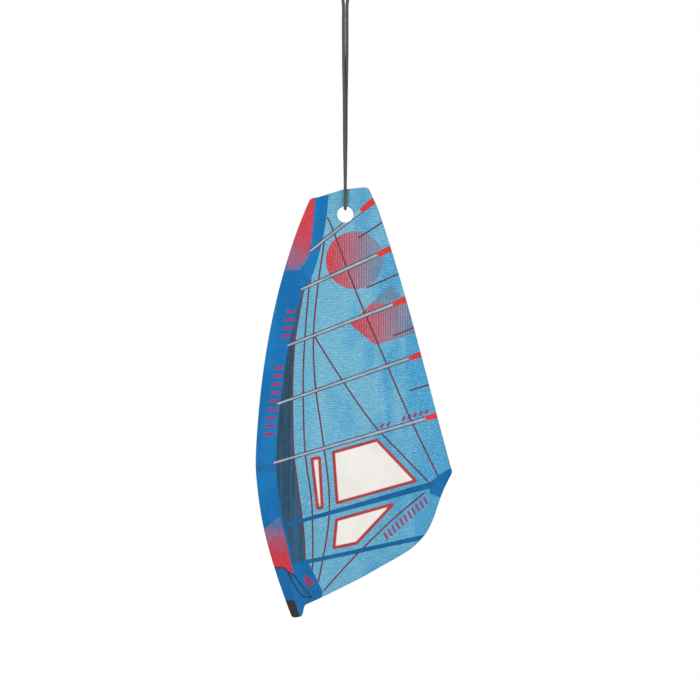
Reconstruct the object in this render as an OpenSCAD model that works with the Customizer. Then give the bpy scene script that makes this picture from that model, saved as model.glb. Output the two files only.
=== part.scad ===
// Hanging card shaped like a windsurf sail: a die-cut pulp board, printed on both faces, on a
// doubled elastic cord. The card hangs in the X-Z plane and its front faces -Y. The origin is
// the top of the cord's eye, where a hook bears.

/* [Card] */
// Thickness of the pulp board
card_t = 2; // [1.5:0.1:2.4]
// Thickness of the printed layer on each face
ink_t = 0.1; // [0.05:0.05:0.1]
// Diameter of the punched hole
hole_d = 5; // [4.9:0.1:5.2]

/* [Print] */
// Width of the dark red seam lines
seam_w = 0.5; // [0.3:0.05:0.6]
// Width of the red frames round the windows
frame_w = 0.9; // [0.8:0.05:1]
// Width of the battens at the leech
batten_w = 1.4; // [1.1:0.1:1.6]
// Width of the red batten tips at the leech
tip_w = 2.2; // [1.8:0.1:2.4]
// Radius of the halftone disc
disc_r = 8.8; // [7:0.2:9]

/* [Cord] */
// Diameter of the elastic cord
cord_d = 1; // [0.9:0.05:1]
// Diameter of the overhand knot
knot_d = 4.4; // [4:0.1:4.8]
// Height of the overhand knot
knot_h = 4.2; // [3.8:0.1:4.6]

/* [Hidden] */

red = [0.88, 0.25, 0.27];
seam_red = [0.55, 0.22, 0.28];
deep_blue = [0.1, 0.42, 0.7];
sail_blue = [0.35, 0.68, 0.83];
slate_blue = [0.17, 0.31, 0.42];
batten_grey = [0.64, 0.75, 0.79];
board_white = [0.92, 0.91, 0.88];
near_black = [0.22, 0.2, 0.19];

// The printed layers, from the top one down
MAST_FOOT = 0;
DOWNHAUL_LINE = 1;
BATTENS = 2;
BATTEN_TIPS = 3;
STRAPS = 4;
TACK_MARK = 5;
CORNER_PATCHES = 6;
WINDOW_FRAMES = 7;
SEAMS = 8;
DASHES = 9;
HALFTONE = 10;
RED_FADES = 11;
LUFF_SLEEVE = 12;
SHADE_PANEL = 13;
SAIL_FILM = 14;

curve_steps = 4;
corner_steps = 6;
// Distance from the hook down to the hole's centre
drop = 76;

// Vectors and outlines. Every outline lies in the card's plane, as [x, z] from the hole's centre.
function unit(v) = v / norm(v);
function backwards(list) = [for (i = [len(list) - 1:-1:0]) list[i]];
function turned(v) = [-v.y, v.x];

// One point of the smooth curve that passes through b and c, with a and d beside them
function between(a, b, c, d, t) = 0.5 * (2 * b + (c - a) * t + (2 * a - 5 * b + 4 * c - d) * t * t
    + (3 * b - a - 3 * c + d) * t * t * t);

// A smooth curve through the points
function smooth(p) = let (n = len(p) - 1) concat(
    [for (i = [0:n - 1], k = [0:curve_steps - 1])
        between(p[max(i - 1, 0)], p[i], p[i + 1], p[min(i + 2, n)], k / curve_steps)],
    [p[n]]);

// The arc of radius r that replaces the corner b
function arc_at(a, b, c, r) = let (
    u = unit(a - b),
    v = unit(c - b),
    half = acos(u * v) / 2,
    middle = b + unit(u + v) * r / sin(half),
    p = b + u * r / tan(half) - middle,
    q = b + v * r / tan(half) - middle,
    start = atan2(p.y, p.x),
    sweep = (atan2(q.y, q.x) - start + 540) % 360 - 180)
    [for (i = [0:corner_steps]) middle + r * [cos(start + sweep * i / corner_steps),
        sin(start + sweep * i / corner_steps)]];

// A closed outline of [x, z, corner radius] points, where radius 0 or none leaves the point sharp
function rounded(p) = let (n = len(p)) [for (i = [0:n - 1])
    let (
        a = [p[(i + n - 1) % n].x, p[(i + n - 1) % n].y],
        b = [p[i].x, p[i].y],
        c = [p[(i + 1) % n].x, p[(i + 1) % n].y],
        r = len(p[i]) > 2 ? p[i][2] : 0)
    each r > 0 ? arc_at(a, b, c, r) : [b]];

// The corner points moved inwards by d, for a convex outline, with a new corner radius
function inset(p, d, r) = let (n = len(p)) [for (i = [0:n - 1])
    let (
        b = p[i],
        u = unit(p[(i + n - 1) % n] - b),
        v = unit(p[(i + 1) % n] - b),
        moved = b + unit(u + v) * d / sin(acos(u * v) / 2))
    [moved.x, moved.y, r]];

// A strip of width w0 at the start of a line of points and w1 at its end
function strip(p, w0, w1) = let (
    n = len(p) - 1,
    side = [for (i = [0:n]) turned(unit(p[min(i + 1, n)] - p[max(i - 1, 0)]))
        * (w0 + (w1 - w0) * i / n) / 2])
    concat([for (i = [0:n]) p[i] + side[i]], backwards([for (i = [0:n]) p[i] - side[i]]));

// The sail's outline
luff = smooth([[-17.4, -120], [-20.6, -110.9], [-23.4, -101.7], [-25.5, -92.6], [-26.9, -82.5],
    [-27.3, -74], [-26.3, -59], [-24.6, -45], [-22.2, -31.6], [-19.2, -19.1], [-15.5, -7.2],
    [-12.1, 1.6]]);
leech = smooth([[9.9, 2], [13.9, -10.2], [19.3, -28.5], [24.2, -46.8], [28.2, -62.1], [31.9, -76]]);
clew = smooth([[32.4, -79.2], [30.2, -83.6], [28.5, -88], [26.8, -93], [24.4, -97.6],
    [20.3, -101.8], [15.6, -104.8]]);
sail_outline = rounded(concat(luff, [[-10.6, 5, 1.8], [-8.4, 5.2], [-0.7, 7.6], [6.9, 8.4, 1.6]],
    leech, [[32.6, -78.4, 0.8]], clew,
    [[4.8, -110.9], [-7.5, -117], [-12.4, -119.2, 1.2], [-13.2, -122.7, 1.3], [-16.2, -123.1, 1.2]]));

// The straight battens, each from the luff to the leech, and where its red tip starts
battens = [
    [[-10.8, -11.3], [9.2, 4.6], 0.78],
    [[-13.5, -22.9], [14, -10.4], 0.845],
    [[-17.6, -40], [18.6, -25.9], 0.885],
    [[-20.7, -57.8], [23.3, -42.6], 0.91],
    [[-21.8, -75.8], [28.2, -61.2], 0.925]];
// How wide each batten is at the luff for its width at the leech
batten_taper = 0.8;
// How far each tip takes to reach its full width, and how far it runs past the leech
tip_flare = 0.05;
tip_over = 1.08;
function along(a, b, t) = a + (b - a) * t;

// The corners of the three windows, and the radii outside and inside their frames' corners
frame_corner = 0.6;
pane_corner = 0.2;
windows = [
    [[-10.7, -74.2], [-7.4, -73.6], [-6.5, -89.8], [-8.8, -90.2]],
    [[-4.1, -72.2], [9.8, -68.3], [22.4, -81.5], [-2.9, -88.6]],
    [[-3.1, -92.8], [16.2, -87.4], [3.7, -100.7], [-4, -102.3]]];

// The seam lines that curve down the sail, then the short straight ones at the leech
long_seams = [
    [[-12.8, -23.4], [-13.7, -28.3], [-14.7, -34.2], [-15.5, -40], [-15.9, -47], [-16.1, -55],
        [-16, -65.8], [-15.6, -74.1], [-14.9, -79.6], [-14.2, -85.2], [-13.2, -92.1],
        [-12.5, -99], [-12.3, -105.6]],
    [[-10.4, -19.7], [-11.2, -24], [-12.7, -44.4], [-12.7, -62.4], [-12, -75], [-10.2, -88],
        [-9.9, -105.1], [-10.2, -108.8]],
    [[-6.3, -7.8], [-8.3, -21.5], [-9.7, -36.8], [-9.2, -51.4], [-7.2, -66], [-5, -83.4],
        [-5.3, -96], [-8.2, -112.1]],
    [[-5.5, -0.8], [-3.8, -4.6], [3.1, -23.1], [9, -37.1], [19.2, -60.9], [28.3, -79.8]],
    [[-9.4, -37.2], [-0.8, -50.8], [8.4, -63.8], [16.7, -72.6], [25.4, -81.6]],
    [[24.3, -84.8], [14.3, -93.2], [1.9, -105.4], [-6.6, -114.9]]];
short_seams = [
    [[4.1, -7.1], [11.8, -2.1]],
    [[6.5, -22.4], [17, -17.8]],
    [[14.6, -37.1], [21, -34.5]],
    [[19.5, -53.8], [26, -51.8]]];

// Where the sleeve ends on the sail, from the head down to the tack
sleeve_edge = smooth([[-4.9, 8], [-5.9, -2.3], [-8.3, -13.4], [-10.6, -19.9], [-13.4, -25],
    [-15.5, -32.8], [-16.9, -38.3], [-18, -44.4], [-19.5, -55], [-20.7, -65.8], [-21, -74.1],
    [-20.7, -82.4], [-19.6, -89.3], [-18.9, -93.5], [-17.2, -99.3], [-16.1, -105.4], [-15, -124]]);
panel_edge = smooth(long_seams[0]);

// Rows of small plain dashes, each as first centre, last centre, how many, length, width, slant
dash_rows = [
    [[-16.6, -29.7], [-18, -37], 4, 3, 1, 8],
    [[-20.2, -46.8], [-23.2, -67], 9, 3, 1, 4],
    [[11.2, -64.5], [13.2, -63.9], 2, 1.5, 0.8, 60],
    [[17.8, -62.3], [24.8, -60.1], 5, 1.5, 0.8, 60],
    [[12.4, -98.1], [24.5, -87.3], 11, 2.5, 0.7, -62]];

// The cord's own line, as [x, y, z], for the strand that ends in front of the card. The other
// strand is its half turn about Z. First round the hook, then down to the hole.
cord_r = cord_d / 2;
// Inside radius of the eye that the hook goes into, and its point at an angle from the top
eye_r = 2;
function on_eye(angle) = [-(eye_r + 0.5) * sin(angle), 0, (eye_r + 0.5) * cos(angle) - eye_r];
crown_route = [[-0.55, 0, 0.9], [-0.55, 0, 0.7], [-0.95, 0, 0.38], on_eye(37), on_eye(51)];
eye_route = [
    on_eye(92), [-2.45, 0, -3.5], [-2.1, 0, -5.5], [-1.5, 0, -7.5], [-0.95, 0, -9.5],
    [-0.6, 0, -11.5], [-0.53, 0, -13.7]];
upper_route = [
    [-0.53, 0, -14.3], [-0.53, 0, -17], [-0.53, 0, -20], [-0.53, -0.02, -23.5],
    [-0.51, -0.14, -27], [-0.48, -0.24, -30], [-0.42, -0.32, -33.5], [-0.37, -0.38, -36.5],
    [-0.31, -0.43, -39.6]];
lower_route = [
    [-0.3, -0.44, -40], [-0.28, -0.45, -43], [-0.26, -0.46, -46], [-0.25, -0.47, -49],
    [-0.23, -0.48, -52], [-0.2, -0.52, -55], [-0.15, -0.7, -58], [-0.1, -1, -61],
    [-0.05, -1.4, -64], [0, -1.75, -67.2], [0, -1.8, -70], [0, -1.8, -72.6]];
// The turn through the hole: its bend radius, how far it stands from the card's middle, and its
// lowest place
bight_r = 1;
bight_out = 1.8;
bight_low = -74.2;
// The knot's underside, and how steep its rounded ends are
knot_low = 0.9;
knot_end = 60;
knot_bulge = 0.6;
tail_route = [[-0.55, 0, 4.6], [-0.7, 0, 6], [-1.1, -0.1, 8], [-1.7, -0.2, 10], [-2, -0.2, 10.9]];

function half_turn(route) = [for (p = route) [-p.x, -p.y, p.z]];

// The turn through the hole, from the front of the card to the back
bight_bend = [for (a = [180:22.5:270]) [0, -bight_out + bight_r + bight_r * cos(a),
    bight_low + bight_r + bight_r * sin(a)]];
through_route = concat(lower_route, bight_bend, half_turn(backwards(bight_bend)),
    half_turn(backwards(lower_route)));

// A closed eight-sided tube of the cord's diameter along a route
sides = 8;
function ring(route, i) = let (
    n = len(route) - 1,
    d = unit(route[min(i + 1, n)] - route[max(i - 1, 0)]),
    across = unit(cross(d, abs(d.x) < 0.9 ? [1, 0, 0] : [0, 1, 0])),
    up = cross(across, d))
    [for (k = [0:sides - 1])
        route[i] + cord_r * (across * cos(360 * k / sides) + up * sin(360 * k / sides))];

module tube(route) {
    n = len(route);
    points = [for (i = [0:n - 1]) each ring(route, i)];
    walls = [for (i = [0:n - 2], k = [0:sides - 1])
        let (a = i * sides, b = a + sides, next = (k + 1) % sides)
        [a + k, a + next, b + next, b + k]];
    first_cap = [for (k = [sides - 1:-1:0]) k];
    last_cap = [for (k = [0:sides - 1]) (n - 1) * sides + k];
    polyhedron(points, concat(walls, [first_cap, last_cap]));
}

// Stands a flat shape up in the card's plane, from y to y + t
module standing(y, t) {
    translate([0, y + t, -drop]) rotate([90, 0, 0]) linear_extrude(t) children();
}

module card_face() {
    difference() {
        polygon(sail_outline);
        circle(d = hole_d, $fn = 48);
    }
}

// The middle of the halftone disc
disc_place = [2.9, -14];

// The mast's foot, and the line that hangs from the tack in a loop
foot_outline = [[-19.5, -117.5], [-15.5, -117.7], [-13.9, -122.3], [-14, -125], [-19.5, -125]];
line_runs = [
    [[-23.5, -107.8], [-18.5, -107.8], [-17.6, -108.9], [-15.7, -109.8]],
    smooth([[-17.7, -108.7], [-15.9, -112.3], [-14.2, -115.2], [-12.6, -116.5], [-10.2, -116.8]]),
    smooth([[-15.8, -109.8], [-14, -112.2], [-12, -114.8], [-10.2, -116.8]])];
line_w = 0.38;

// The dark patches at the clew and the tack
clew_patch = [[25.4, -82], [28.5, -79.5], [33.5, -76.6], [34, -80], [29, -86.3], [25.9, -85.2]];
tack_patch = [[-16.5, -106], [-11.3, -106], [-6.9, -114.9], [-7.6, -119], [-14, -125],
    [-16.8, -112], [-15.6, -109.9]];

// The two dark straps across the foot of the sail, each from the luff to the leech
upper_strap = [[-19, -95], [26.6, -82.4]];
lower_strap = [[-16.5, -106.5], [-9.8, -105.6], [27, -97.8]];
strap_start = 1;
upper_strap_end = 1.9;
lower_strap_end = 1.4;

// The slanted five-sided halftone panel, and the small mark on the tack's patch
halftone_panel = [[1.5, -33.5], [13.8, -21.5], [19.4, -27], [21.5, -36.4], [9, -39.8]];
tack_mark = [[-12.6, -109.7], [-9.2, -112.4], [-11.8, -113.6]];

// The red ends of the sail, at the head and at the tack
head_fade = [[-8.9, 8], [-10.3, -7.8], [-11.1, -12.3], [-12.4, -15], [-13.6, -17], [-22, -17.4],
    [-14, 8]];
tack_fade = [[-25.3, -96.4], [-20.2, -92.1], [-19.2, -94.9], [-18.1, -99], [-16.6, -106.3],
    [-15.6, -109.9], [-17.6, -108.9], [-18.5, -107.8], [-25, -107.8]];

// What each printed layer covers, before the layers above it are taken away
module layer_shape(layer) {
    if (layer == MAST_FOOT) polygon(foot_outline);
    if (layer == DOWNHAUL_LINE) for (run = line_runs) polygon(strip(run, line_w, line_w));
    if (layer == BATTENS) for (b = battens)
        polygon(strip([b[0], along(b[0], b[1], b[2])], batten_taper * batten_w, batten_w));
    if (layer == BATTEN_TIPS) for (b = battens)
        polygon(strip([along(b[0], b[1], b[2]), along(b[0], b[1], b[2] + tip_flare),
            along(b[0], b[1], tip_over)], batten_w, tip_w));
    if (layer == STRAPS) {
        polygon(strip(upper_strap, strap_start, upper_strap_end));
        polygon(strip(lower_strap, strap_start, lower_strap_end));
    }
    if (layer == TACK_MARK) polygon(tack_mark);
    if (layer == CORNER_PATCHES) {
        polygon(clew_patch);
        polygon(tack_patch);
    }
    if (layer == WINDOW_FRAMES) difference() {
        for (w = windows) polygon(rounded(inset(w, 0, frame_corner)));
        for (w = windows) polygon(rounded(inset(w, frame_w, pane_corner)));
    }
    if (layer == SEAMS) {
        for (s = long_seams) polygon(strip(smooth(s), seam_w, seam_w));
        for (s = short_seams) polygon(strip(s, seam_w, seam_w));
    }
    if (layer == DASHES) for (row = dash_rows, i = [0:row[2] - 1])
        translate(along(row[0], row[1], i / (row[2] - 1))) rotate(row[5])
            square([row[3], row[4]], center = true);
    if (layer == HALFTONE) {
        translate(disc_place) circle(r = disc_r, $fn = 72);
        polygon(halftone_panel);
    }
    if (layer == RED_FADES) {
        polygon(head_fade);
        polygon(tack_fade);
    }
    if (layer == LUFF_SLEEVE) polygon(concat(sleeve_edge, [[-30, -124], [-30, 8]]));
    if (layer == SHADE_PANEL) polygon(concat(panel_edge, [[-21, -110], [-26, -76], [-22, -40]]));
    if (layer == SAIL_FILM) polygon(sail_outline);
}

// A printed layer on both faces of the board: what it covers without the layers above it
module printed(layer) {
    for (y = [-card_t / 2 - ink_t, card_t / 2]) standing(y, ink_t) difference() {
        intersection() {
            card_face();
            layer_shape(layer);
        }
        if (layer > 0) for (above = [0:layer - 1]) layer_shape(above);
        if (layer > WINDOW_FRAMES) for (w = windows)
            polygon(rounded(inset(w, frame_w / 2, (frame_corner + pane_corner) / 2)));
    }
}

module card_board() { color(board_white) standing(-card_t / 2, card_t) card_face(); }
module print_mast_foot() { color(near_black) printed(MAST_FOOT); }
module print_downhaul_line() { color(near_black) printed(DOWNHAUL_LINE); }
module print_battens() { color(batten_grey) printed(BATTENS); }
module print_batten_tips() { color(red) printed(BATTEN_TIPS); }
module print_straps() { color(deep_blue) printed(STRAPS); }
module print_tack_mark() { color(red) printed(TACK_MARK); }
module print_corner_patches() { color(deep_blue) printed(CORNER_PATCHES); }
module print_window_frames() { color(red) printed(WINDOW_FRAMES); }
module print_seams() { color(seam_red) printed(SEAMS); }
module print_dashes() { color(red) printed(DASHES); }
module print_halftone() { color(red) printed(HALFTONE); }
module print_red_fades() { color(red) printed(RED_FADES); }
module print_luff_sleeve() { color(deep_blue) printed(LUFF_SLEEVE); }
module print_shade_panel() { color(slate_blue) printed(SHADE_PANEL); }
module print_sail_film() { color(sail_blue) printed(SAIL_FILM); }

// The overhand knot's outer shape, a barrel with rounded ends
module cord_knot() {
    color(near_black) translate([0, 0, knot_low]) rotate_extrude($fn = 48) polygon(
        concat([[0, 0]], [for (a = [-knot_end:20:knot_end]) [knot_d / 2 * cos(a) ^ knot_bulge,
            knot_h / 2 * (1 + sin(a) / sin(knot_end))]], [[0, knot_h]]));
}

module cord_tails() {
    rise = knot_low + knot_h - tail_route[0].z;
    both_strands([for (p = tail_route) p + [0, 0, rise]]);
}

module both_strands(route) {
    color(near_black) {
        tube(backwards(route));
        tube(backwards(half_turn(route)));
    }
}

module cord_crown() { both_strands(crown_route); }
module cord_eye() { both_strands(eye_route); }
module cord_upper() { both_strands(upper_route); }
module cord_lower() { color(near_black) tube(backwards(through_route)); }

card_board();
print_mast_foot();
print_downhaul_line();
print_battens();
print_batten_tips();
print_straps();
print_tack_mark();
print_corner_patches();
print_window_frames();
print_seams();
print_dashes();
print_halftone();
print_red_fades();
print_luff_sleeve();
print_shade_panel();
print_sail_film();
cord_knot();
cord_tails();
cord_crown();
cord_eye();
cord_upper();
cord_lower();
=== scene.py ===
"""A hanging card air freshener: a pulp board printed as a windsurf sail, on an elastic cord."""
import math
from collections import Counter

import bmesh
import bpy
import numpy as np
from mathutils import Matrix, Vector, noise
from mathutils.bvhtree import BVHTree
from mathutils.geometry import delaunay_2d_cdt
from mathutils.kdtree import KDTree


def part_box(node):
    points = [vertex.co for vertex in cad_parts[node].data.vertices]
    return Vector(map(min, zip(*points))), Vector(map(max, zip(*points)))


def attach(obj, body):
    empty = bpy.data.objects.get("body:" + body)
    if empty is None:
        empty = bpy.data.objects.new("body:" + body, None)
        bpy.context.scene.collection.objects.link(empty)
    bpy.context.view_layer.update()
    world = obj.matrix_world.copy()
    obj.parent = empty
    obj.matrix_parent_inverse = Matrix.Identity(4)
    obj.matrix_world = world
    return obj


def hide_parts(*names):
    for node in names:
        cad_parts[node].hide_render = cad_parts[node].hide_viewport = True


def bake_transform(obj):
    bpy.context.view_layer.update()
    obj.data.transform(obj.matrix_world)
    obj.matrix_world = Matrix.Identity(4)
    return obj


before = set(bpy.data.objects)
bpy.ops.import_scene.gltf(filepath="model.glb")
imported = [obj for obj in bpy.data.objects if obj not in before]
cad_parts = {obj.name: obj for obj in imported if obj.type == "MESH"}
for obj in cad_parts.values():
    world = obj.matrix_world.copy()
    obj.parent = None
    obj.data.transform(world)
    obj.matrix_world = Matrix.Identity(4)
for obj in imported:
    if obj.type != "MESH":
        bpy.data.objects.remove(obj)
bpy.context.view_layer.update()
scene = bpy.context.scene
MM = 0.001

# Places taken from the frame
CARD_LOW, CARD_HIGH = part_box("card_board")
FILM_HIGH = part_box("print_sail_film")[1]
CARD_MID = (CARD_LOW + CARD_HIGH) / 2
HALF_BOARD = CARD_HIGH.y
FACE_Y = FILM_HIGH.y
PRINT_NODES = [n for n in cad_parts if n.startswith("print_")]

# ---------------------------------------------------------------- camera and light

# The picture's width at the card, and where the camera stands from the card's middle
PICTURE_WIDTH = 0.2135
CAMERA_DISTANCE = 1.2
CAMERA_RIGHT = -0.00117
CAMERA_UP = 0.01599
SENSOR = 36.0
# The room's light on the object. To the camera the room is plain white.
ROOM_LIGHT = 0.47


def make_camera():
    data = bpy.data.cameras.new("camera")
    data.sensor_width = SENSOR
    data.lens = SENSOR * CAMERA_DISTANCE / PICTURE_WIDTH
    data.clip_start, data.clip_end = 0.05, 30
    camera = bpy.data.objects.new("camera", data)
    scene.collection.objects.link(camera)
    camera.location = (
        CARD_MID.x + CAMERA_RIGHT, -CAMERA_DISTANCE - FACE_Y, CARD_MID.z + CAMERA_UP)
    camera.rotation_euler = (math.radians(90), 0, 0)
    scene.camera = camera


def make_light(name, place, size, energy):
    """A round soft lamp that faces the card's middle."""
    data = bpy.data.lights.new(name, "AREA")
    data.shape, data.size, data.energy = "DISK", size, energy
    lamp = bpy.data.objects.new(name, data)
    scene.collection.objects.link(lamp)
    lamp.location = place
    lamp.rotation_euler = (CARD_MID - Vector(place)).to_track_quat("-Z", "Y").to_euler()


def make_studio():
    world = bpy.data.worlds.new("studio")
    scene.world = world
    world.use_nodes = True
    tree = world.node_tree
    background = tree.nodes["Background"]
    background.inputs["Color"].default_value = (1, 1, 1, 1)
    path = tree.nodes.new("ShaderNodeLightPath")
    level = tree.nodes.new("ShaderNodeMapRange")
    level.inputs["To Min"].default_value = ROOM_LIGHT
    level.inputs["To Max"].default_value = 1.0
    tree.links.new(path.outputs["Is Camera Ray"], level.inputs["Value"])
    tree.links.new(level.outputs["Result"], background.inputs["Strength"])
    make_light("key", place=(-1.25, -1.8, 0.9), size=1.1, energy=25)
    make_light("fill", place=(1.6, -1.4, 0.2), size=1.6, energy=9)
    make_light("back_key", place=(1.1, 2.0, 0.9), size=1.3, energy=20)
    scene.view_settings.view_transform = "Standard"


# ---------------------------------------------------------------- material building blocks


class Paint:
    """A material whose colour, roughness and bump are built from procedural nodes."""

    def __init__(self, name):
        self.material = bpy.data.materials.new(name)
        self.material.use_nodes = True
        self.tree = self.material.node_tree
        self.shader = self.tree.nodes["Principled BSDF"]
        self.place = self.node("ShaderNodeTexCoord").outputs["Object"]
        split = self.node("ShaderNodeSeparateXYZ")
        self.tree.links.new(self.place, split.inputs[0])
        self.x, self.y, self.z = split.outputs

    def node(self, kind, **settings):
        made = self.tree.nodes.new(kind)
        for key, value in settings.items():
            setattr(made, key, value)
        return made

    def feed(self, socket, value):
        """Links an output to the socket, or sets the socket to a plain number or colour."""
        if isinstance(value, bpy.types.NodeSocket):
            self.tree.links.new(value, socket)
        elif hasattr(value, "__len__") and len(value) == 3 and len(socket.default_value) == 4:
            socket.default_value = (*value, 1)
        else:
            socket.default_value = value

    def maths(self, operation, a, b=0.0, c=0.0):
        n = self.node("ShaderNodeMath", operation=operation)
        for socket, value in zip(n.inputs, (a, b, c)):
            self.feed(socket, value)
        return n.outputs[0]

    def remap(self, value, low, high, to_low=0.0, to_high=1.0, smooth=True):
        n = self.node("ShaderNodeMapRange", interpolation_type="SMOOTHSTEP" if smooth else "LINEAR")
        for socket, v in zip(n.inputs, (value, low, high, to_low, to_high)):
            self.feed(socket, v)
        return n.outputs[0]

    def mix(self, share, a, b, blend="MIX"):
        n = self.node("ShaderNodeMix", data_type="RGBA", blend_type=blend)
        self.feed(n.inputs[0], share)
        self.feed(n.inputs[6], a)
        self.feed(n.inputs[7], b)
        return n.outputs[2]

    def noise(self, cell, detail=2.0, roughness=0.5, distortion=0.0, place=None):
        """Noise from 0 to 1 whose cells have the given size in metres, one number or (x, y, z)."""
        sizes = cell if hasattr(cell, "__len__") else (cell, cell, cell)
        stretch = self.node("ShaderNodeMapping")
        self.feed(stretch.inputs["Vector"], place or self.place)
        stretch.inputs["Scale"].default_value = [1 / s for s in sizes]
        n = self.node("ShaderNodeTexNoise")
        self.tree.links.new(stretch.outputs[0], n.inputs["Vector"])
        n.inputs["Scale"].default_value = 1.0
        n.inputs["Detail"].default_value = detail
        n.inputs["Roughness"].default_value = roughness
        n.inputs["Distortion"].default_value = distortion
        return n.outputs[0]

    def ramp(self, value, stops):
        n = self.node("ShaderNodeValToRGB")
        self.feed(n.inputs[0], value)
        elements = n.color_ramp.elements
        while len(elements) < len(stops):
            elements.new(0.5)
        for element, (at, colour) in zip(elements, stops):
            element.position = at
            element.color = (*colour, 1)
        return n.outputs[0]

    def bump(self, height, depth, before=None):
        n = self.node("ShaderNodeBump")
        n.inputs["Strength"].default_value = 1.0
        n.inputs["Distance"].default_value = depth
        self.feed(n.inputs["Height"], height)
        if before is not None:
            self.feed(n.inputs["Normal"], before)
        return n.outputs[0]

    def finish(self, colour, roughness, normal=None, sheen=0.0, specular=0.2):
        self.feed(self.shader.inputs["Base Color"], colour)
        self.feed(self.shader.inputs["Roughness"], roughness)
        if normal is not None:
            self.feed(self.shader.inputs["Normal"], normal)
        self.shader.inputs["Specular IOR Level"].default_value = specular
        if sheen:
            self.shader.inputs["Sheen Weight"].default_value = sheen
            self.shader.inputs["Sheen Roughness"].default_value = 0.5
        return self.material


# ---------------------------------------------------------------- the floor

FLOOR_RADIUS = 3.0
# How far under the card the floor lies
FLOOR_DROP = 0.32
FLOOR_GREY = (0.86, 0.86, 0.855)
FLOOR_WHITE = (0.89, 0.89, 0.885)
NO_COLOUR = (0, 0, 0)


def make_floor():
    """A pale floor that brightens into the white studio towards its rim."""
    bpy.ops.mesh.primitive_circle_add(
        vertices=96, radius=FLOOR_RADIUS, fill_type="NGON",
        location=(0, 0, CARD_LOW.z - FLOOR_DROP))
    floor = bpy.context.object
    floor.name = "floor"
    paint = Paint("floor")
    length = paint.node("ShaderNodeVectorMath", operation="LENGTH")
    paint.feed(length.inputs[0], paint.place)
    far = paint.remap(length.outputs["Value"], 0.2, 0.92 * FLOOR_RADIUS)
    cloud = paint.noise(0.3, detail=2.0)
    pale = paint.mix(paint.remap(cloud, 0.3, 0.7), FLOOR_GREY, FLOOR_WHITE)
    paint.feed(paint.shader.inputs["Base Color"], paint.mix(far, pale, NO_COLOUR))
    paint.shader.inputs["Emission Color"].default_value = (1, 1, 1, 1)
    paint.feed(paint.shader.inputs["Emission Strength"], far)
    paint.shader.inputs["Roughness"].default_value = 0.9
    paint.shader.inputs["Specular IOR Level"].default_value = 0.0
    floor.data.materials.append(paint.material)


# ---------------------------------------------------------------- the print's inks

FRAME_RED = (0.42, 0.055, 0.065)
SEAM_RED = (0.165, 0.045, 0.08)
TIP_RED = (0.66, 0.05, 0.055)
DEEP_BLUE = (0.006, 0.155, 0.42)
STRAP_BLUE = (0.006, 0.13, 0.34)
BATTEN = (0.33, 0.455, 0.555)
OUTLINE = (0.07, 0.05, 0.08)
MAGENTA = (0.36, 0.04, 0.12)
MAGENTA_WORN = (0.11, 0.09, 0.26)
BLACK = (0.035, 0.032, 0.032)
LINE_BLACK = (0.022, 0.03, 0.042)

# How ink takes on the board: rubbed off on high fibres, deeper in the hollows
BOARD = (0.84, 0.82, 0.775)
INK_THIN = (2.2, 1.35, 1.22)
INK_THICK = (0.7, 0.72, 0.74)
INK_HOLLOW = (0.45, 0.55, 0.66)

FILM_GREEN = (0.145, 0.445, 0.61)
FILM_BLUE = (0.038, 0.322, 0.585)
FILM_PALE = (0.20, 0.485, 0.665)
FILM_DARK = (0.04, 0.26, 0.44)
FILM_NEAR_MAST = (0.10, 0.415, 0.59)
FILM_HEAD = (0.08, 0.34, 0.52)
GRAIN_PALE = (0.34, 0.61, 0.74)
GRAIN_DARK = (0.035, 0.26, 0.47)
SPECK_PALE = (0.34, 0.60, 0.72)
SPECK_DARK = (0.04, 0.25, 0.46)

SLEEVE_DEEP = (0.004, 0.150, 0.405)
SLEEVE_LIGHT = (0.010, 0.185, 0.475)
SLEEVE_FOLD = (0.02, 0.09, 0.24)
SLEEVE_FOOT = (0.008, 0.115, 0.325)
SHADE_DEEP = (0.019, 0.060, 0.105)
SHADE_LIGHT = (0.030, 0.105, 0.205)
SHADE_GREEN = (0.05, 0.13, 0.17)


def fibre_finish(paint, colour, grain=0.05, bleach=0.10):
    """Ink on pulp board: fibres that took less ink, a mottled tone and a matte, felted surface."""
    mottle = paint.noise(0.75 * MM, detail=3.0, roughness=0.7)
    colour = paint.mix(
        paint.remap(mottle, 0.5, 0.68, 0.0, 5 * grain), colour, INK_THIN, "MULTIPLY")
    colour = paint.mix(
        paint.remap(mottle, 0.5, 0.32, 0.0, 5 * grain), colour, INK_THICK, "MULTIPLY")
    fine = paint.noise((0.32 * MM, 0.5 * MM, 0.22 * MM), detail=2.0, roughness=0.7, distortion=0.6)
    colour = paint.mix(paint.remap(fine, 0.52, 0.70, 0.0, bleach), colour, BOARD)
    colour = paint.mix(paint.remap(fine, 0.48, 0.31, 0.0, 0.34), colour, INK_HOLLOW, "MULTIPLY")
    felt = paint.noise(0.55 * MM, detail=4.0, roughness=0.65)
    normal = paint.bump(felt, 0.10 * MM)
    normal = paint.bump(fine, 0.05 * MM, normal)
    roughness = paint.remap(felt, 0.3, 0.7, 0.78, 0.96)
    return paint.finish(colour, roughness, normal, sheen=0.04, specular=0.12)


# From one stroke of the sail's woven grain to the next
GRAIN_PITCH = 0.8 * MM


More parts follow.
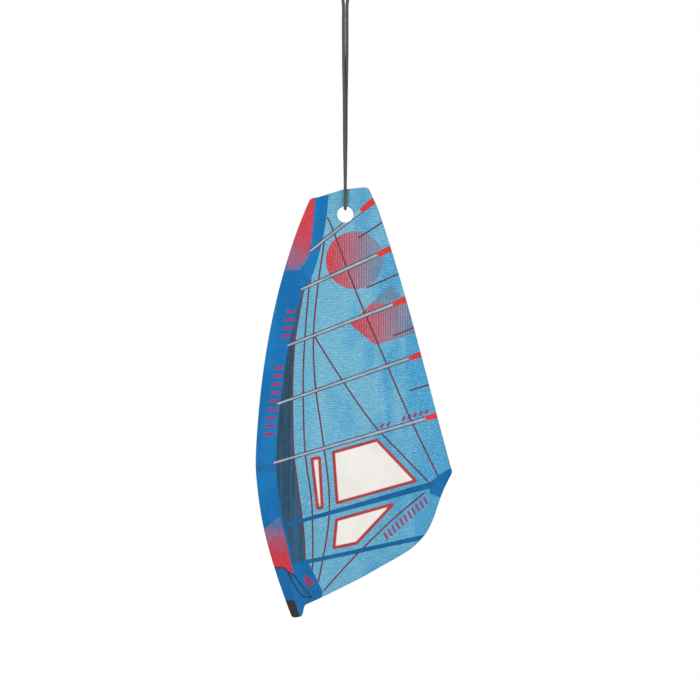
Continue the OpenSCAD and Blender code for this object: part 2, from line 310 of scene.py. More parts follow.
def film_colour(paint):
    """The sail's blue, greener near the mast and bluer at the leech, with a fine woven grain."""
    cloud = paint.noise((9 * MM, 9 * MM, 16 * MM), detail=3.0, roughness=0.55)
    across = paint.maths("ADD", paint.remap(paint.x, -10 * MM, 24 * MM, smooth=False),
                         paint.remap(cloud, 0.3, 0.7, -0.35, 0.35))
    colour = paint.mix(paint.remap(across, 0.25, 0.95), FILM_GREEN, FILM_BLUE)
    colour = paint.mix(paint.remap(paint.x, -6 * MM, -13 * MM, 0.0, 0.8), colour, FILM_NEAR_MAST)
    bands = paint.noise((5 * MM, 5 * MM, 40 * MM), detail=1.0)
    colour = paint.mix(paint.remap(bands, 0.52, 0.72, 0.0, 0.55), colour, FILM_PALE)
    lower = paint.maths("ADD", paint.z, paint.remap(cloud, 0.3, 0.7, -8 * MM, 8 * MM))
    colour = paint.mix(paint.remap(lower, -150 * MM, -168 * MM, 0.0, 0.25), colour, FILM_DARK)
    head = paint.maths("ADD", paint.z, paint.remap(cloud, 0.3, 0.7, -6 * MM, 6 * MM))
    colour = paint.mix(paint.remap(head, -82 * MM, -72 * MM, 0.0, 0.45), colour, FILM_HEAD)
    # The grain: fine wavy strokes that run across the sail, and slant in its lowest part
    low_part = paint.remap(paint.z, -160 * MM, -174 * MM, 0.0, 0.55)
    bow = paint.maths("MULTIPLY", paint.maths("MULTIPLY", paint.x, paint.x), 7.0)
    slant = paint.maths("SUBTRACT", bow, paint.maths("MULTIPLY", paint.x, low_part))
    tilted = paint.node("ShaderNodeCombineXYZ")
    paint.feed(tilted.inputs[0], paint.x)
    paint.feed(tilted.inputs[1], paint.y)
    paint.feed(tilted.inputs[2], paint.maths("ADD", paint.z, slant))
    tilted = tilted.outputs[0]
    height = paint.maths("DIVIDE", paint.maths("ADD", paint.z, slant), GRAIN_PITCH)
    wander = paint.noise((3.2 * MM, 3 * MM, 3 * MM), detail=1.0, place=tilted)
    ripple = paint.noise((1.1 * MM, 1 * MM, 0.9 * MM), detail=1.0, place=tilted)
    phase = paint.maths("ADD", height, paint.maths(
        "MULTIPLY_ADD", wander, 1.5, paint.maths("MULTIPLY", ripple, 1.3)))
    wave = paint.maths("SINE", paint.maths("MULTIPLY", phase, 2 * math.pi))
    broken = paint.noise((1.0 * MM, 1 * MM, 0.7 * MM), detail=2.0, place=tilted)
    dark = paint.maths("MULTIPLY", paint.remap(wave, 0.1, 0.95),
                       paint.remap(broken, 0.36, 0.6, 0.15, 0.85))
    pale = paint.maths("MULTIPLY", paint.remap(wave, -0.1, -0.95),
                       paint.remap(broken, 0.64, 0.42, 0.05, 0.38))
    colour = paint.mix(pale, colour, GRAIN_PALE)
    colour = paint.mix(paint.maths("MULTIPLY", dark, 0.5), colour, GRAIN_DARK)
    speck = paint.noise((0.6 * MM, 1.0 * MM, 0.32 * MM), detail=1.5, roughness=0.6, place=tilted)
    colour = paint.mix(paint.remap(speck, 0.54, 0.72, 0.0, 0.30), colour, SPECK_PALE)
    colour = paint.mix(paint.remap(speck, 0.46, 0.30, 0.0, 0.36), colour, SPECK_DARK)
    return colour


def sail_film():
    paint = Paint("sail_film")
    return fibre_finish(paint, film_colour(paint), bleach=0.14)


def plain_ink(name, colour, grain=0.05, bleach=0.07):
    paint = Paint(name)
    tone = paint.noise(6 * MM, detail=2.0)
    darker = tuple(0.82 * c for c in colour)
    colour = paint.mix(paint.remap(tone, 0.35, 0.65), darker, colour)
    return fibre_finish(paint, colour, grain, bleach)


def dashes():
    """Magenta that has taken unevenly, so that the blue under it shows through."""
    paint = Paint("dash_ink")
    patch = paint.noise(0.75 * MM, detail=3.0, roughness=0.7)
    colour = paint.mix(paint.remap(patch, 0.42, 0.62, 0.0, 0.7), MAGENTA, MAGENTA_WORN)
    return fibre_finish(paint, colour, bleach=0.05)


# The sleeve's fold, a soft darker line across it near the luff, and where its darker foot starts
FOLD_Z = -153.4 * MM
SLEEVE_FOOT_TOP, SLEEVE_FOOT_FULL = -168 * MM, -173 * MM


def luff_sleeve():
    paint = Paint("luff_sleeve")
    tone = paint.noise((7 * MM, 7 * MM, 22 * MM), detail=3.0)
    colour = paint.mix(paint.remap(tone, 0.35, 0.65), SLEEVE_DEEP, SLEEVE_LIGHT)
    fold = paint.maths("ABSOLUTE", paint.maths("SUBTRACT", paint.z, FOLD_Z))
    near = paint.remap(fold, 0.6 * MM, 1.9 * MM, 0.42, 0.0)
    left = paint.remap(paint.x, -19.5 * MM, -22 * MM)
    colour = paint.mix(paint.maths("MULTIPLY", near, left), colour, SLEEVE_FOLD)
    foot = paint.remap(paint.z, SLEEVE_FOOT_TOP, SLEEVE_FOOT_FULL, 0.0, 0.8)
    colour = paint.mix(foot, colour, SLEEVE_FOOT)
    return fibre_finish(paint, colour, bleach=0.035)


def shade_panel():
    paint = Paint("shade_panel")
    strokes = paint.noise((0.9 * MM, 2 * MM, 26 * MM), detail=2.0, roughness=0.6)
    colour = paint.mix(paint.remap(strokes, 0.35, 0.65), SHADE_DEEP, SHADE_LIGHT)
    tone = paint.noise(1.2 * MM, detail=2.0)
    colour = paint.mix(paint.remap(tone, 0.5, 0.75, 0.0, 0.3), colour, SHADE_GREEN)
    return fibre_finish(paint, colour, bleach=0.06)


def red_fades():
    """Red at the sail's two ends, which breaks up into purple and then the sleeve's blue."""
    paint = Paint("red_fades")
    low, high = CARD_LOW.z, CARD_HIGH.z
    dither = paint.noise(0.7 * MM, detail=3.0, roughness=0.7)
    drift = paint.noise(4 * MM, detail=1.0)
    height = paint.maths("ADD", paint.z, paint.remap(dither, 0.25, 0.75, -1.6 * MM, 1.6 * MM))
    height = paint.maths("ADD", height, paint.remap(drift, 0.3, 0.7, -1.2 * MM, 1.2 * MM))
    level = paint.remap(height, low, high, smooth=False)

    def at(z):
        return (z * MM - low) / (high - low)

    colour = paint.ramp(level, [
        (at(-182.3), (0.57, 0.035, 0.05)),
        (at(-178.2), (0.44, 0.06, 0.095)),
        (at(-173.6), (0.27, 0.125, 0.22)),
        (at(-169.5), (0.06, 0.155, 0.37)),
        (at(-93.6), (0.05, 0.16, 0.40)),
        (at(-91.2), (0.26, 0.14, 0.27)),
        (at(-85.5), (0.44, 0.085, 0.145)),
        (at(-79.5), (0.60, 0.05, 0.066)),
    ])
    return fibre_finish(paint, colour, bleach=0.08)


# The halftone's lines, what its disc and its panel span across, and the height between the two
LINE_PITCH = 0.52 * MM
DISC_LEFT, DISC_RIGHT = -6.0 * MM, 11.5 * MM
PANEL_LEFT, PANEL_RIGHT = 1.5 * MM, 21.5 * MM
DISC_FOOT = -103.2 * MM
HALFTONE_DULL = (0.20, 0.07, 0.10)
HALFTONE_RED = (0.56, 0.045, 0.055)
HALFTONE_SHADOW = (0.16, 0.24, 0.32)


def halftone():
    """Fine upright red lines on the sail's blue, wide at the left and thinning out to the right."""
    paint = Paint("halftone")
    wave = paint.maths("ABSOLUTE", paint.maths("MULTIPLY_ADD", paint.maths(
        "FRACT", paint.maths("DIVIDE", paint.x, LINE_PITCH)), 2.0, -1.0))
    on_disc = paint.remap(paint.x, DISC_LEFT, DISC_RIGHT, 1.02, 0.30, smooth=False)
    on_panel = paint.remap(paint.x, PANEL_LEFT, PANEL_RIGHT, 1.02, 0.32, smooth=False)
    upper = paint.remap(paint.z, DISC_FOOT, DISC_FOOT + 0.2 * MM)
    share = paint.maths("ADD", paint.maths("MULTIPLY", upper, on_disc),
                        paint.maths("MULTIPLY", paint.maths("SUBTRACT", 1.0, upper), on_panel))
    wander = paint.noise((0.8 * MM, 1 * MM, 0.5 * MM), detail=2.0)
    share = paint.maths("ADD", share, paint.remap(wander, 0.3, 0.7, -0.12, 0.12))
    ink = paint.remap(paint.maths("SUBTRACT", share, wave), -0.12, 0.16)
    bright = paint.remap(share, 0.3, 0.8)
    red = paint.mix(bright, HALFTONE_DULL, HALFTONE_RED)
    under = paint.mix(0.25, film_colour(paint), HALFTONE_SHADOW)
    return fibre_finish(paint, paint.mix(ink, under, red), bleach=0.08)


# The mesh attribute that says where a frame's ink has crept into the bare board
BLEED = "bleed"
BOARD_GREY = (0.80, 0.775, 0.735)
BOARD_CREAM = (0.86, 0.835, 0.795)
BOARD_PINK = (0.80, 0.33, 0.29)
BOARD_FLECK = (0.62, 0.59, 0.53)
EDGE_GREY = (0.66, 0.63, 0.57)
EDGE_CREAM = (0.86, 0.84, 0.79)
EDGE_INK = (0.12, 0.33, 0.50)


def raw_board():
    """Bare pulp board, pink where the frames' ink has crept in at a window's border."""
    paint = Paint("board")
    cloud = paint.noise(7 * MM, detail=2.0)
    colour = paint.mix(paint.remap(cloud, 0.3, 0.7), BOARD_GREY, BOARD_CREAM)
    crept = paint.node("ShaderNodeAttribute", attribute_name=BLEED).outputs["Fac"]
    pink = paint.maths("MULTIPLY", paint.maths("POWER", crept, 1.3), 0.9)
    colour = paint.mix(pink, colour, BOARD_PINK)
    fleck = paint.noise((0.5 * MM, 0.5 * MM, 0.35 * MM), detail=3.0, roughness=0.7)
    colour = paint.mix(paint.remap(fleck, 0.62, 0.8, 0.0, 0.22), colour, BOARD_FLECK)
    felt = paint.noise(0.6 * MM, detail=4.0, roughness=0.65)
    normal = paint.bump(felt, 0.09 * MM)
    return paint.finish(colour, paint.remap(felt, 0.3, 0.7, 0.82, 0.97), normal, sheen=0.15,
                        specular=0.15)


def cut_edge():
    """The board's cut edge: layered fibres, with ink drawn in at both faces."""
    paint = Paint("cut_edge")
    layers = paint.noise((2.2 * MM, 0.16 * MM, 2.2 * MM), detail=3.0, roughness=0.6)
    colour = paint.mix(paint.remap(layers, 0.3, 0.7), EDGE_GREY, EDGE_CREAM)
    depth = paint.maths("ABSOLUTE", paint.y)
    drawn = paint.noise(0.5 * MM, detail=2.0)
    reach = paint.maths("ADD", depth, paint.remap(drawn, 0.3, 0.7, -0.16 * MM, 0.16 * MM))
    colour = paint.mix(paint.remap(reach, 0.62 * MM, 1.0 * MM, 0.0, 0.75), colour, EDGE_INK)
    normal = paint.bump(layers, 0.12 * MM)
    return paint.finish(colour, paint.remap(layers, 0.3, 0.7, 0.85, 0.97), normal, sheen=0.15,
                        specular=0.12)


INKS = {
    "board": raw_board,
    "cut_edge": cut_edge,
    "batten_lines": lambda: plain_ink("outline_ink", OUTLINE, bleach=0.04),
    "print_mast_foot": lambda: plain_ink("mast_foot_ink", BLACK, bleach=0.05),
    "print_downhaul_line": lambda: plain_ink("line_ink", LINE_BLACK, bleach=0.05),
    "print_battens": lambda: plain_ink("batten_ink", BATTEN, grain=0.08, bleach=0.12),
    "print_batten_tips": lambda: plain_ink("tip_ink", TIP_RED),
    "print_straps": lambda: plain_ink("strap_ink", STRAP_BLUE),
    "print_tack_mark": lambda: plain_ink("tack_mark_ink", MAGENTA),
    "print_corner_patches": lambda: plain_ink("patch_ink", DEEP_BLUE),
    "print_window_frames": lambda: plain_ink("frame_ink", FRAME_RED),
    "print_seams": lambda: plain_ink("seam_ink", SEAM_RED, bleach=0.05),
    "print_dashes": dashes,
    "print_halftone": halftone,
    "print_red_fades": red_fades,
    "print_luff_sleeve": luff_sleeve,
    "print_shade_panel": shade_panel,
    "print_sail_film": sail_film,
}

# ---------------------------------------------------------------- the card

# Points closer than this are one point
TINY = 0.004 * MM
# The mesh's usual spacing, and how far its points stray from an even grid
GRID = 0.62 * MM
JITTER = 0.22
JITTER_SEED = 11
# The face is pressed down along the cut: over how wide a rim, how deep, and with rows of points
RIM = 0.85 * MM
RIM_DROP = 0.26 * MM
RIM_ROWS = (0.14 * MM, 0.32 * MM, 0.58 * MM, RIM)
# The dark line along each batten's sides, and how far the frames' ink creeps into a window
BATTEN_LINE = 0.27 * MM
BLEED_REACH = 0.35 * MM
# Triangles along the outline that are thinner than this are taken off
SLIVER = 0.009 * MM
# Rows of points across the cut edge, as shares of half the board's thickness
SIDE_ROWS = (-0.72, -0.4, -0.08, 0.26, 0.6)
# The felted face: small lumps, wide waves, and how far the face lies under the ink's top
LUMP_SIZE, LUMP_HEIGHT = (1.7 * MM, 1.2 * MM), 0.030
WAVE_SIZE, WAVE_HEIGHT = (9 * MM, 11 * MM), 0.045
FACE_UNDER = 0.05 * MM
# The cut edge stands out in the middle, by lumps and by frayed fibres, all in millimetres
EDGE_BULGE, EDGE_LUMP, EDGE_FRAY = 0.035, 0.02, 0.022


def front_triangles(node):
    """The triangles of a node's front face, as three (x, z) points each."""
    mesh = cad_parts[node].data
    front = min(v.co.y for v in mesh.vertices)
    found = []
    for polygon in mesh.polygons:
        corners = [mesh.vertices[i].co for i in polygon.vertices]
        if all(c.y < front + 0.01 * MM for c in corners):
            found.append([(c.x, c.z) for c in corners])
    return found


def key_of(point):
    return (round(point[0] / TINY), round(point[1] / TINY))


def border(triangles):
    """The edges that only one triangle has, as pairs of points."""
    seen = {}
    for t in triangles:
        for a, b in ((t[0], t[1]), (t[1], t[2]), (t[2], t[0])):
            name = frozenset((key_of(a), key_of(b)))
            if len(name) == 2:
                seen.setdefault(name, []).append((a, b))
    return [pairs[0] for pairs in seen.values() if len(pairs) == 1]


def loops(edges):
    """Joins edges into closed loops of points."""
    beside, place = {}, {}
    for a, b in edges:
        ka, kb = key_of(a), key_of(b)
        place[ka], place[kb] = a, b
        beside.setdefault(ka, []).append(kb)
        beside.setdefault(kb, []).append(ka)
    found, used = [], set()
    for start in beside:
        if start in used:
            continue
        line, here = [start], start
        used.add(start)
        while True:
            ahead = [k for k in beside[here] if k not in used]
            if not ahead:
                break
            here = ahead[0]
            used.add(here)
            line.append(here)
        found.append([place[k] for k in line])
    return found


def batten_outlines():
    """Two thin dark strips along each batten's long sides."""
    strips = []
    for loop in loops(border(front_triangles("print_battens"))):
        points = [Vector(p) for p in loop]
        sides = sorted(
            ((b - a, a, b) for a, b in zip(points, points[1:] + points[:1])),
            key=lambda s: -s[0].length,
        )[:2]
        middle = sum(points, Vector((0, 0))) / len(points)
        for along, a, b in sides:
            inward = Vector((-along.y, along.x)).normalized() * BATTEN_LINE
            if inward.dot(middle - a) < 0:
                inward = -inward
            strips.append([a, b, b + inward, a + inward])
    return [[(p.x, p.y) for p in s] for s in strips]


def even_points(loop, step):
    """Points a step apart round a closed loop, each with its unit direction."""
    found = []
    for a, b in zip(loop, loop[1:] + loop[:1]):
        a, b = Vector(a), Vector(b)
        count = max(1, round((b - a).length / step))
        if (b - a).length > 1e-9:
            found += [(a + (b - a) * i / count, (b - a).normalized()) for i in range(count)]
    return found


class Plan:
    """The card's face in the plane: its regions, its outline and how far a point is from it."""

    def __init__(self):
        board = front_triangles("card_board")
        self.edge_lines = border(board)
        self.edges = list(self.edge_lines)
        self.names = ["batten_lines", *PRINT_NODES]
        shapes = {"batten_lines": batten_outlines()}
        for node in PRINT_NODES:
            shapes[node] = front_triangles(node)
            self.edges += border(shapes[node])
        for s in shapes["batten_lines"]:
            self.edges += list(zip(s, s[1:] + s[:1]))
        self.trees = [(name, self.tree(shapes[name])) for name in self.names]
        self.board = self.tree(board)
        self.loops = loops(self.edge_lines)
        self.frame_loops = loops(border(shapes["print_window_frames"]))
        self.rim = self.near_tree(self.loops)
        self.frame_lines = self.near_tree(self.frame_loops)

    @staticmethod
    def near_tree(closed_loops):
        points = [p for loop in closed_loops for p, _ in even_points(loop, 0.12 * MM)]
        near = KDTree(len(points))
        for i, p in enumerate(points):
            near.insert((p.x, 0, p.y), i)
        near.balance()
        return near

    @staticmethod
    def tree(shapes):
        points, faces = [], []
        for shape in shapes:
            faces.append(tuple(range(len(points), len(points) + len(shape))))
            points += [(x, 0, z) for x, z in shape]
        return BVHTree.FromPolygons(points, faces)

    @staticmethod
    def over(tree, x, z):
        return tree.ray_cast((x, 1, z), (0, -1, 0))[0] is not None

    def region(self, x, z):
        for name, tree in self.trees:
            if self.over(tree, x, z):
                return name
        return "board"

    def from_edge(self, x, z):
        return self.rim.find((x, 0, z))[2]

    def from_frame(self, x, z):
        return self.frame_lines.find((x, 0, z))[2]

    def inner_points(self):
        """Extra points: rows that follow the edge, and a jittered grid inside."""
        found = []
        for loop in self.loops:
            for p, d in even_points(loop, 0.45 * MM):
                for row in RIM_ROWS:
                    for side in (Vector((-d.y, d.x)), Vector((d.y, -d.x))):
                        q = p + side * row
                        if self.over(self.board, q.x, q.y) and self.from_edge(q.x, q.y) > 0.9 * row:
                            found.append((q.x, q.y))
        for loop in self.frame_loops:
            for p, d in even_points(loop, 0.4 * MM):
                for side in (Vector((-d.y, d.x)), Vector((d.y, -d.x))):
                    q = p + side * BLEED_REACH
                    clear = self.from_frame(q.x, q.y) > 0.9 * BLEED_REACH
                    if clear and self.region(q.x, q.y) == "board":
                        found.append((q.x, q.y))
        random = np.random.default_rng(JITTER_SEED)
        rows = int((CARD_HIGH.z - CARD_LOW.z) / GRID) + 1
        columns = int((CARD_HIGH.x - CARD_LOW.x) / GRID) + 1
        jitter = random.uniform(-JITTER, JITTER, (rows, columns, 2)) * GRID
        for i in range(rows):
            for j in range(columns):
                x = CARD_LOW.x + (j + 0.5 * (i % 2)) * GRID + jitter[i, j, 0]
                z = CARD_LOW.z + i * GRID + jitter[i, j, 1]
                clear = self.from_edge(x, z) > RIM_ROWS[-1] + 0.2 * GRID
                bled = self.from_frame(x, z) < 1.3 * BLEED_REACH and self.region(x, z) == "board"
                if self.over(self.board, x, z) and clear and not bled:
                    found.append((x, z))
        return found


def split_long(edges, step):
    """Cuts long edges into short ones, so that the mesh stays even along them."""
    cut = []
    for a, b in edges:
        a, b = Vector(a), Vector(b)
        count = max(1, math.ceil((b - a).length / step))
        points = [a + (b - a) * i / count for i in range(count + 1)]
        cut += [((p.x, p.y), (q.x, q.y)) for p, q in zip(points, points[1:])]
    return cut


def sides_of(corners):
    return [frozenset(pair) for pair in zip(corners, corners[1:] + corners[:1])]


def without_slivers(verts, faces):
    """Takes off the hair-thin triangles that lie along the outline, a layer at a time."""
    while True:
        users = Counter(side for corners, _ in faces for side in sides_of(corners))
        kept = []
        for corners, region in faces:
            a, b, c = (verts[i] for i in corners)
            lengths = [(b - a).length, (c - b).length, (a - c).length]
            longest = max(lengths)
            outer = users[sides_of(corners)[lengths.index(longest)]] == 1
            if not outer or (b - a).cross(c - a) > SLIVER * longest:
                kept.append((corners, region))
        if len(kept) == len(faces):
            return kept
        faces = kept


def triangulated(plan):
    """The face as points and triangles, with every border between inks as edges."""
    index, points, edges = {}, [], set()
    for a, b in split_long(plan.edges, 1.2 * GRID):
        pair = []
        for p in (a, b):
            k = key_of(p)
            if k not in index:
                index[k] = len(points)
                points.append(Vector(p))
            pair.append(index[k])
        if pair[0] != pair[1]:
            edges.add((min(pair), max(pair)))
    for p in plan.inner_points():
        k = key_of(p)
        if k not in index:
            index[k] = len(points)
            points.append(Vector(p))
    scaled = [p * 1000 for p in points]
    verts, _, faces, *_ = delaunay_2d_cdt(scaled, sorted(edges), [], 0, 1e-5, False)
    verts = [v / 1000 for v in verts]
    kept = []
    for f in faces:
        if len(f) != 3:
            continue
        a, b, c = (verts[i] for i in f)
        area = (b - a).cross(c - a)
        middle = (a + b + c) / 3
        if abs(area) > 1e-14 and plan.over(plan.board, middle.x, middle.y):
            kept.append((f if area > 0 else f[::-1], plan.region(middle.x, middle.y)))
    return verts, without_slivers(verts, kept)


def face_height(plan, x, z):
    """How far the face stands from the card's middle: felted, and pressed down along the cut."""
    drop = max(0.0, 1 - plan.from_edge(x, z) / RIM)
    relief = LUMP_HEIGHT * noise.noise((x / LUMP_SIZE[0], 3.1, z / LUMP_SIZE[1]))
    relief += WAVE_HEIGHT * noise.noise((x / WAVE_SIZE[0], 8.7, z / WAVE_SIZE[1]))
    return FACE_Y - FACE_UNDER + relief * MM - RIM_DROP * drop**2.2


def make_faces(build, names):
    """The card's front and back faces. Gives back each one's vertices, in the same order."""
    plan = Plan()
    verts, faces = triangulated(plan)
    skins = []
    for side in (-1, 1):
        skin = [build.verts.new((v.x, side * face_height(plan, v.x, v.y), v.y)) for v in verts]
        for corners, region in faces:
            order = corners if side < 0 else corners[::-1]
            face = build.faces.new([skin[i] for i in order])
            face.material_index = names.index(region)
        skins.append(skin)
    return skins


def into_card(v):
    """The direction from an outline vertex into the card, square to the outline."""
    beside = [e.other_vert(v).co for e in v.link_edges if e.is_boundary]
    along = beside[1] - beside[0]
    inward = Vector((along.z, 0, -along.x)).normalized()
    widest = max(v.link_faces, key=lambda f: f.calc_area())
    if inward.dot(widest.calc_center_median() - v.co) < 0:
        inward = -inward
    return inward


def edge_column(build, v, behind):
    """The vertices across the cut edge, from a front outline vertex to the one behind it."""
    x, _, z = v.co
    inward = into_card(v)
    lumps = noise.noise((x / (0.8 * MM), 0, z / (0.8 * MM)))
    column = [v]
    for row in SIDE_ROWS:
        fray = noise.noise((x / (0.45 * MM), row * 6, z / (0.45 * MM)))
        out = EDGE_BULGE * (1 - row * row) + EDGE_LUMP * lumps + EDGE_FRAY * fray
        place = Vector((x, row * HALF_BOARD, z)) - inward * out * MM
        column.append(build.verts.new(place))
    return [*column, behind]


def make_edge(build, skins, side_slot):
    """The cut edge, as walls between the two faces' outlines."""
    build.edges.ensure_lookup_table()
    front = set(skins[0])
    rim = [e for e in build.edges if e.is_boundary and e.verts[0] in front]
    behind = dict(zip(*skins))
    outline = dict.fromkeys(v for e in rim for v in e.verts)
    columns = {v: edge_column(build, v, behind[v]) for v in outline}
    for e in rim:
        a, b = e.verts
        if e.link_loops[0].vert is a:
            a, b = b, a
        for i in range(len(SIDE_ROWS) + 1):
            corners = [columns[a][i], columns[b][i], columns[b][i + 1], columns[a][i + 1]]
            face = build.faces.new(corners)
            face.material_index = side_slot


def mark_bleed(build, bare):
    """Marks the vertices where the bare board meets an ink."""
    bleed = build.verts.layers.float.new(BLEED)
    for v in build.verts:
        kinds = {f.material_index for f in v.link_faces}
        v[bleed] = float(bare in kinds and len(kinds) > 1)


def make_card():
    names = ["board", "cut_edge", "batten_lines", *PRINT_NODES]
    build = bmesh.new()
    skins = make_faces(build, names)
    make_edge(build, skins, names.index("cut_edge"))
    for v in [v for v in build.verts if not v.link_faces]:
        build.verts.remove(v)
    bmesh.ops.recalc_face_normals(build, faces=build.faces)
    mark_bleed(build, names.index("board"))
    for face in build.faces:
        face.smooth = True
    mesh = bpy.data.meshes.new("sail_card")
    build.to_mesh(mesh)
    build.free()
    for name in names:
        mesh.materials.append(INKS[name]())
    card = bpy.data.objects.new("sail_card", mesh)
    scene.collection.objects.link(card)
    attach(card, "card")
    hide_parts("card_board", *PRINT_NODES)


# ---------------------------------------------------------------- the elastic cord

CORD = 1.0 * MM
CORD_SIDES = 24
CORD_STEP = 0.16 * MM
# The heights, in millimetres, where one cord piece ends and the next starts
TOP_CUT, UPPER_CUT, LOWER_CUT = -6.0, -22.0, -60.0

# The cord's line in millimetres, as in the CAD source, for the strand that ends in front
CROWN = [(-0.55, 0, 0.9), (-0.62, 0, 0.62), (-0.98, 0, 0.36), (-1.5, 0, 0.02), (-1.95, 0, -0.42),
         (-2.35, 0, -1.2)]
EYE = [(-2.5, 0, -2.1), (-2.45, 0, -3.5), (-2.1, 0, -5.5), (-1.5, 0, -7.5), (-0.95, 0, -9.5),
       (-0.6, 0, -11.5), (-0.53, 0, -13.7)]
UPPER = [(-0.53, 0, -17), (-0.53, 0, -20), (-0.53, -0.02, -23.5), (-0.51, -0.14, -27),
         (-0.48, -0.24, -30), (-0.42, -0.32, -33.5), (-0.37, -0.38, -36.5)]
LOWER = [(-0.3, -0.44, -40), (-0.28, -0.45, -43), (-0.26, -0.46, -46), (-0.25, -0.47, -49),
         (-0.23, -0.48, -52), (-0.2, -0.52, -55), (-0.15, -0.7, -58), (-0.1, -1, -61),
         (-0.05, -1.4, -64), (0, -1.75, -67.2), (0, -1.8, -70), (0, -1.8, -72.6)]
# The turn through the hole: its lowest place, how far out it stands, and its bend radius
BIGHT_LOW, BIGHT_OUT, BIGHT_R = -74.2, 1.8, 1.0
# The knot: how far from its middle a strand rises inside it and wraps round it, then the
# wrap's first angle, how far it turns, the heights it falls between and its number of steps
KNOT_CORE, KNOT_WRAP = 0.71, 1.7
WRAP_START, WRAP_TURN, WRAP_TOP, WRAP_BASE, WRAP_STEPS = 255, 400, 4.35, 1.75, 22
CORE_IN, CORE_OUT = 222, 675
TAIL = [(0.5, -0.5, 5.2), (0.7, -0.42, 6.6), (1.15, -0.3, 8.6), (1.85, -0.15, 11.0)]


def half_turn(route):
    return [(-x, -y, z) for x, y, z in route]


def on_circle(radius, degrees, z):
    return (radius * math.cos(math.radians(degrees)), radius * math.sin(math.radians(degrees)), z)


def knot_route():
    """One strand's way through the overhand knot, from the crown up to its cut end."""
    route = [on_circle(KNOT_CORE, CORE_IN, z) for z in (1.6, 2.6, 3.6)]
    route += [on_circle(0.95, 226, 4.5), on_circle(1.4, 238, 4.72)]
    for i in range(WRAP_STEPS + 1):
        t = i / WRAP_STEPS
        height = WRAP_TOP + (WRAP_BASE - WRAP_TOP) * t
        route.append(on_circle(KNOT_WRAP, WRAP_START + WRAP_TURN * t, height))
    route += [on_circle(1.3, 668, 1.35), on_circle(0.85, 672, 1.5)]
    route += [on_circle(KNOT_CORE, CORE_OUT, z) for z in (2.4, 3.4, 4.4)]
    return route + TAIL


def smooth_line(points, step):
    """A smooth curve through the points, in metres, with points about a step apart."""
    p = [Vector(q) * MM for q in points]
    p = [p[0] * 2 - p[1], *p, p[-1] * 2 - p[-2]]
    line = []
    for a, b, c, d in zip(p, p[1:], p[2:], p[3:]):
        count = max(2, math.ceil((c - b).length / step))
        for i in range(count):
            t = i / count
            line.append(0.5 * (2 * b + (c - a) * t + (2 * a - 5 * b + 4 * c - d) * t * t
                               + (3 * b - a - 3 * c + d) * t**3))
    return [*line, p[-2]]


def from_to(line, high, low):
    """The stretch of a falling line between two heights in millimetres, cut exactly there."""
    found = []
    for a, b in zip(line, line[1:]):
        for z in (high * MM, low * MM):
            if (a.z - z) * (b.z - z) < 0:
                found.append(a.lerp(b, (a.z - z) / (a.z - b.z)))
        if low * MM <= b.z <= high * MM:
            found.append(b)
    return found


# The sheath's threads round the cord, their slope in threads per diameter, and its map's name
BRAID_THREADS = 8
BRAID_SLOPE = 2.5
SHEATH_MAP = "sheath"
# The sheath's colours: near-black in the gaps between threads, which is painted shade; paler on the
# thread crowns, which is partly wear and partly a painted highlight; and lint
SHEATH_GAP_SHADE = (0.024, 0.023, 0.022)
SHEATH_CROWN_WEAR_AND_HIGHLIGHT = (0.17, 0.163, 0.155)
LINT = (0.20, 0.19, 0.18)
# How far a cut end's cap stands out
END_BULGE = 0.12 * MM


def cord_rings(build, line):
    """Rings of vertices along a line, and how far along it each one is, in cord diameters."""
    across, gone, rings, reach = Vector((0.3, 1, 0)), 0.0, [], []
    for i, p in enumerate(line):
        ahead = (line[min(i + 1, len(line) - 1)] - line[max(i - 1, 0)]).normalized()
        across = (across - ahead * across.dot(ahead)).normalized()
        up = ahead.cross(across)
        if i:
            gone += (p - line[i - 1]).length
        ring = []
        for k in range(CORD_SIDES):
            turn = 2 * math.pi * k / CORD_SIDES
            lumps = noise.noise((2 * math.cos(turn), 2 * math.sin(turn), gone / CORD))
            radius = CORD / 2 * (0.985 + 0.035 * lumps)
            side = across * math.cos(turn) + up * math.sin(turn)
            ring.append(build.verts.new(p + side * radius))
        rings.append(ring)
        reach.append(gone / CORD)
    return rings, reach


def cord_walls(build, sheath_map, rings, reach):
    """The faces between the rings, with their places in the sheath map."""
    for a, b, near, far in zip(rings, rings[1:], reach, reach[1:]):
        for k in range(CORD_SIDES):
            n = (k + 1) % CORD_SIDES
            face = build.faces.new([a[k], a[n], b[n], b[k]])
            places = ((k, near), (k + 1, near), (k + 1, far), (k, far))
            for loop, (turn, along) in zip(face.loops, places):
                loop[sheath_map].uv = (turn / CORD_SIDES, along)


def cord_cap(build, ring, place, out, bulge):
    """Closes a tube's end with a fan whose middle stands out by the bulge."""
    middle = build.verts.new(place + out.normalized() * bulge)
    for k in range(CORD_SIDES):
        build.faces.new([ring[k], ring[(k + 1) % CORD_SIDES], middle])


def cord_mesh(name, lines, first_bulge, material):
    """Tubes along lines. The sheath map runs once round the cord, and along it in diameters."""
    build = bmesh.new()
    sheath_map = build.loops.layers.uv.new(SHEATH_MAP)
    for line in lines:
        rings, reach = cord_rings(build, line)
        cord_walls(build, sheath_map, rings, reach)
        cord_cap(build, rings[0][::-1], line[0], line[0] - line[1], first_bulge)
        cord_cap(build, rings[-1], line[-1], line[-1] - line[-2], 0)
    bmesh.ops.recalc_face_normals(build, faces=build.faces)
    for face in build.faces:
        face.smooth = True
    mesh = bpy.data.meshes.new(name)
    build.to_mesh(mesh)
    build.free()
    piece = bpy.data.objects.new(name, mesh)
    scene.collection.objects.link(piece)
    mesh.materials.append(material)
    return piece


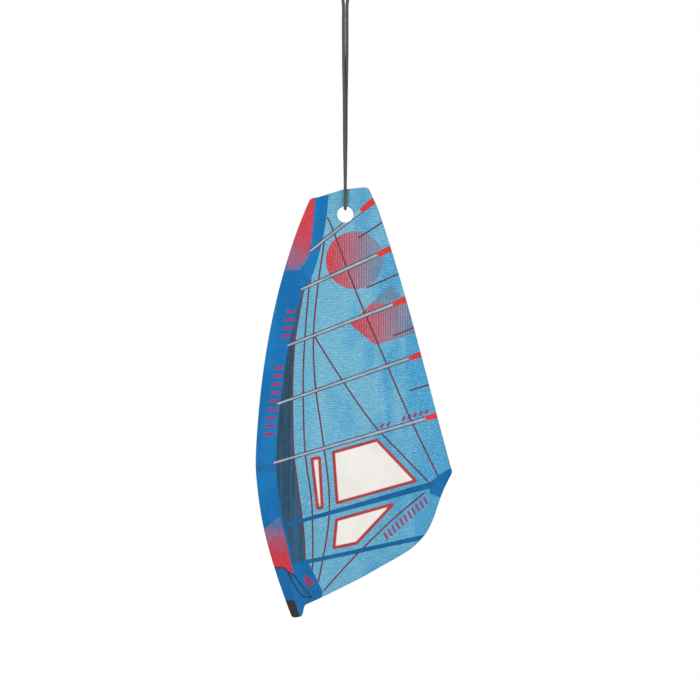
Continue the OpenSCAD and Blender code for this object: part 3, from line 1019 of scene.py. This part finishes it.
def elastic():
    """The cord's black braided sheath: threads that cross on the slant, with paler crowns that are
    partly wear and partly a painted highlight, and painted shade in the gaps between them.
    """
    paint = Paint("sheath")
    split = paint.node("ShaderNodeSeparateXYZ")
    place = paint.node("ShaderNodeUVMap", uv_map=SHEATH_MAP).outputs[0]
    paint.tree.links.new(place, split.inputs[0])
    turns = paint.maths("MULTIPLY", split.outputs[0], BRAID_THREADS)
    slope = paint.maths("MULTIPLY", split.outputs[1], BRAID_SLOPE)
    threads = []
    for way in ("ADD", "SUBTRACT"):
        phase = paint.maths("MULTIPLY", paint.maths(way, turns, slope), 2 * math.pi)
        threads.append(paint.maths("SINE", phase))
    braid = paint.maths("MAXIMUM", *threads)
    yarn = paint.noise((0.16 * MM, 0.16 * MM, 0.5 * MM), detail=3.0, roughness=0.65)
    raised = paint.maths("ADD", paint.remap(braid, -0.5, 1.0, -0.14, 0.14), yarn)
    # Painted shade in the gaps between the threads and a painted highlight on their crowns, which
    # are partly worn too
    colour = paint.mix(paint.remap(raised, 0.3, 0.72), SHEATH_GAP_SHADE, SHEATH_CROWN_WEAR_AND_HIGHLIGHT)
    lint = paint.noise(0.9 * MM, detail=2.0)
    colour = paint.mix(paint.remap(lint, 0.62, 0.8, 0.0, 0.25), colour, LINT)
    normal = paint.bump(braid, 0.045 * MM)
    normal = paint.bump(yarn, 0.04 * MM, normal)
    return paint.finish(colour, paint.remap(yarn, 0.3, 0.7, 0.5, 0.72), normal, specular=0.12)


def turned_line(line):
    """The line's half turn about Z, which is the other strand."""
    return [Vector((-p.x, -p.y, p.z)) for p in line]


def make_ends(strand, sheath):
    """Both strands' ends: from the eye up through the knot to their cut tails."""
    line = [p for p in strand if p.z > TOP_CUT * MM]
    above, below = strand[len(line) - 1], strand[len(line)]
    line.append(above.lerp(below, (above.z - TOP_CUT * MM) / (above.z - below.z)))
    front = cord_mesh("elastic_front_end", [line], END_BULGE, sheath)
    back = cord_mesh("elastic_back_end", [turned_line(line)], END_BULGE, sheath)
    for piece, route in ((front, line), (back, turned_line(line))):
        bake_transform(piece)
    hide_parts("cord_knot", "cord_tails", "cord_crown")


def make_pair(name, strand, high, low, sheath):
    """Both strands between two heights, and a path down one and up the other."""
    a = from_to(strand, high, low)
    b = from_to(turned_line(strand), high, low)
    return cord_mesh(name, [a, b], 0, sheath), a + b[::-1]


def make_through_hole(strand, sheath):
    """The lowest stretch: down in front of the card, through its hole and up behind it."""
    turn = []
    for a in range(180, 271, 15):
        out = BIGHT_R - BIGHT_OUT + BIGHT_R * math.cos(math.radians(a))
        turn.append((0, out, BIGHT_LOW + BIGHT_R + BIGHT_R * math.sin(math.radians(a))))
    down = LOWER[5:] + turn
    whole = smooth_line(down + half_turn(down)[::-1], CORD_STEP)
    under = [i for i, p in enumerate(whole) if p.z <= LOWER_CUT * MM]
    start = from_to(strand, LOWER_CUT + 2, LOWER_CUT)[-1]
    line = [start, *whole[under[0]:under[-1] + 1], *turned_line([start])]
    piece = cord_mesh("elastic_through_hole", [line], 0, sheath)
    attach(piece, "lower_cord")
    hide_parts("cord_lower")


def make_cord():
    sheath = elastic()
    strand = smooth_line(knot_route()[::-1] + CROWN + EYE + UPPER + LOWER, CORD_STEP)
    make_ends(strand, sheath)
    bend, path = make_pair("elastic_under_hook", strand, TOP_CUT, UPPER_CUT, sheath)
    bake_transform(bend)
    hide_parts("cord_eye")
    middle, path = make_pair("elastic_middle", strand, UPPER_CUT, LOWER_CUT, sheath)
    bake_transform(middle)
    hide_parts("cord_upper")
    make_through_hole(strand, sheath)


make_camera()
make_studio()
make_floor()
make_cord()
make_card()
